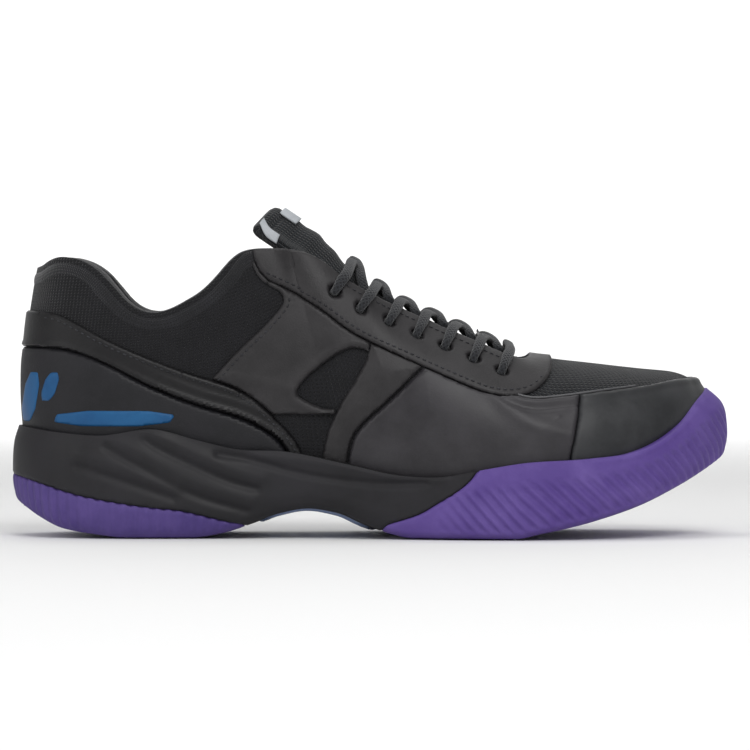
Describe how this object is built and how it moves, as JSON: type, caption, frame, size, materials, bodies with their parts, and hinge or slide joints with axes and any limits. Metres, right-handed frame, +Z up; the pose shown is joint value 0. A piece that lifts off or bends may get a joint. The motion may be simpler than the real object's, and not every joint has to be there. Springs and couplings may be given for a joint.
{
  "type": "court shoe",
  "caption": "Low-cut court shoe for the right foot: cupped sole with wrap-up rubber, layered fabric upper, padded collar, hinged tongue, lace and lift-out insole.",
  "frame": {"origin": "on the ground under the middle of the shoe's bounding box", "axes": "+X points to the toe, -Y is the lateral (outer) side of this right shoe, +Z is up"},
  "size_m": [0.296, 0.1084, 0.1389],
  "materials": {
    "purple_rubber": "satin moulded rubber",
    "black_foam": "satin moulded foam",
    "clear_shank": "gloss",
    "board": "non-woven board",
    "insole_fabric": "knit fabric on foam",
    "black_mesh": "woven air mesh",
    "stiffener": "matte",
    "padding": "open foam",
    "lining_fabric": "brushed knit",
    "black_leather": "satin synthetic leather",
    "gloss_film": "semi-gloss moulded film",
    "toe_film": "semi-gloss moulded film",
    "lace_cord": "braided polyester",
    "lace_tip": "gloss",
    "white_label": "woven label"
  },
  "bodies": {
    "shoe": {"outsole_forefoot": "purple_rubber", "outsole_heel": "purple_rubber", "midsole": "black_foam", "shank_plate": "clear_shank", "insole_board": "board", "vamp": "black_mesh", "quarter_lateral": "black_mesh", "quarter_medial": "black_mesh", "heel_counter": "stiffener", "toe_puff": "stiffener", "interlining": "padding", "collar_padding": "padding", "lining": "lining_fabric", "heel_panel": "black_leather", "heel_band": "black_leather", "side_panel_lateral": "black_leather", "side_panel_medial": "black_leather", "eyestay_lateral": "black_leather", "eyestay_medial": "black_leather", "midfoot_strap_lateral": "gloss_film", "midfoot_strap_medial": "gloss_film", "forefoot_guard_lateral": "gloss_film", "forefoot_guard_medial": "gloss_film", "toe_cap": "toe_film", "lace": "lace_cord", "lace_tip_lateral": "lace_tip", "lace_tip_medial": "lace_tip"},
    "tongue": {"tongue_face": "black_mesh", "tongue_padding": "padding", "tongue_lining": "lining_fabric", "tongue_label": "white_label", "size_label": "white_label"},
    "insole": {"sockliner": "insole_fabric"}
  },
  "joints": [
    {"name": "tongue_hinge", "type": "hinge", "parent": "shoe", "child": "tongue", "pos_m": [0.06, 0, 0.066], "axis": [0, -1, 0], "range_deg": [0, 5]},
    {"name": "insole_lift", "type": "hinge", "parent": "shoe", "child": "insole", "pos_m": [0.128, 0, 0.034], "axis": [0, 1, 0], "range_deg": [0, 5]}
  ]
}
